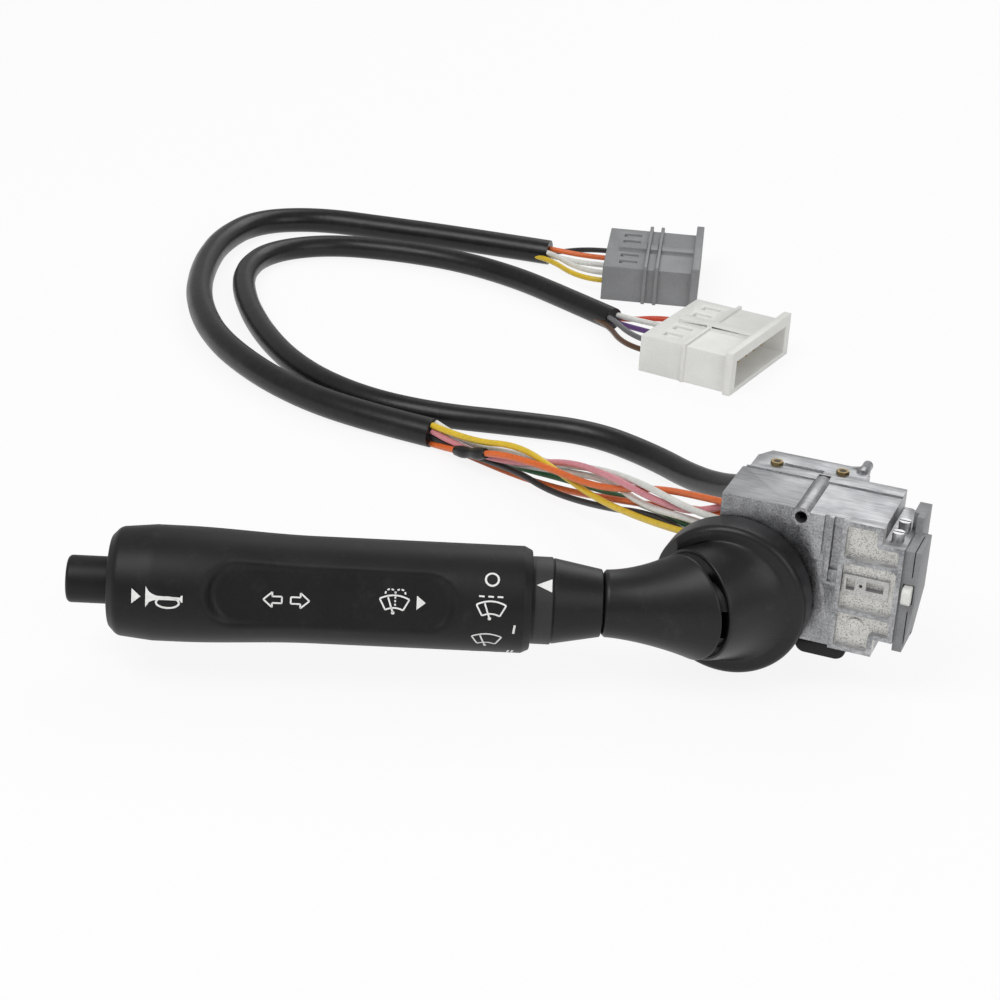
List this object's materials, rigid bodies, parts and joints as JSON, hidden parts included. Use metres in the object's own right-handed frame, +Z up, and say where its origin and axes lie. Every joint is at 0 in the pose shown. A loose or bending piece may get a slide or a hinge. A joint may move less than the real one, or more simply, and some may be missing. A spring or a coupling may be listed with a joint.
{
  "type": "steering column stalk switch",
  "caption": "Combination stalk switch with rotary push handle, end button, pivoting neck, cast housing and a two-branch harness with multi-pin plugs.",
  "frame": {"origin": "centre of the fixing bore, level with the casting's front face", "axes": "+X right along the casting's front face, +Y rearward along the fixing bore, +Z up"},
  "size_m": [0.3412, 0.4152, 0.0547],
  "materials": {
    "cast_zinc": "granular as-cast zinc",
    "grey_plastic": "moulded",
    "white_plastic": "moulded",
    "black_plastic": "fine eroded texture",
    "brass": "tarnished",
    "steel": "zinc plated",
    "rubber": "moulded",
    "sleeve_pvc": "satin",
    "wire_orange": "extruded",
    "wire_white": "extruded",
    "wire_yellow": "extruded",
    "wire_pink": "extruded",
    "wire_black": "extruded",
    "wire_green": "extruded",
    "wire_brown": "extruded",
    "wire_grey": "extruded",
    "wire_violet": "extruded",
    "wire_red": "extruded"
  },
  "bodies": {
    "switch_body": {"switch_housing": "cast_zinc", "side_cover": "grey_plastic", "lower_cap": "black_plastic", "contact_carrier": "black_plastic", "contact_blades": "brass", "top_rivets": "brass", "cover_screws": "steel", "pivot_bush": "brass", "detent_cam": "black_plastic", "lead_grommet": "rubber", "harness_sleeve_a": "sleeve_pvc", "harness_sleeve_b": "sleeve_pvc", "splice_sleeve": "sleeve_pvc", "splice_stub": "wire_orange", "wire_orange_spliced": "wire_orange", "wire_orange": "wire_orange", "wire_white_a": "wire_white", "wire_white_b": "wire_white", "wire_yellow": "wire_yellow", "wire_pink": "wire_pink", "wire_black": "wire_black", "wire_green": "wire_green", "plug_wire_brown": "wire_brown", "plug_wire_grey": "wire_grey", "plug_wire_violet": "wire_violet", "plug_wire_white": "wire_white", "plug_wire_red": "wire_red", "plug_wire_yellow": "wire_yellow", "plug_wire_white_b": "wire_white", "plug_wire_white_c": "wire_white", "plug_wire_orange": "wire_orange", "plug_wire_black": "wire_black", "white_plug": "white_plastic", "white_plug_lock": "white_plastic", "white_plug_pins": "brass", "grey_plug": "grey_plastic", "grey_plug_lock": "grey_plastic", "grey_plug_pins": "brass"},
    "turn_carrier": {"turn_shaft": "black_plastic", "retaining_clip": "steel", "detent_arm": "black_plastic", "detent_plunger": "steel", "bell_upper": "black_plastic", "bell_lower": "black_plastic"},
    "lever": {"lever_rod": "steel", "pivot_pin": "steel", "neck_upper": "black_plastic", "neck_lower": "black_plastic", "index_collar": "black_plastic"},
    "wash_slide": {"wash_sleeve": "grey_plastic"},
    "handle": {"handle_front": "black_plastic", "handle_rear": "black_plastic", "wiper_drum": "white_plastic"},
    "horn": {"horn_button": "black_plastic"},
    "pawl": {"cancel_pawl": "white_plastic"}
  },
  "joints": [
    {"name": "turn_signal", "type": "hinge", "parent": "switch_body", "child": "turn_carrier", "pos_m": [-0.0165, 0, -0.0264], "axis": [0, 1, 0], "range_deg": [-12, 12]},
    {"name": "beam", "type": "hinge", "parent": "turn_carrier", "child": "lever", "pos_m": [-0.0165, -0.014, -0.0264], "axis": [0, 0, 1], "range_deg": [-5.5, 5.5]},
    {"name": "wash_push", "type": "slide", "parent": "lever", "child": "wash_slide", "axis": [-0.9272, -0.3746, 0], "range_m": [-0.004, 0], "stiffness_N_per_m": 1500},
    {"name": "wiper_turn", "type": "hinge", "parent": "wash_slide", "child": "handle", "pos_m": [-0.0165, -0.014, -0.0264], "axis": [-0.9272, -0.3746, 0], "range_deg": [0, 90]},
    {"name": "horn_press", "type": "slide", "parent": "handle", "child": "horn", "axis": [-0.9272, -0.3746, 0], "range_m": [-0.0035, 0], "stiffness_N_per_m": 800},
    {"name": "cancel_push", "type": "slide", "parent": "switch_body", "child": "pawl", "axis": [0, 1, 0], "range_m": [0, 0.0025], "stiffness_N_per_m": 500}
  ]
}
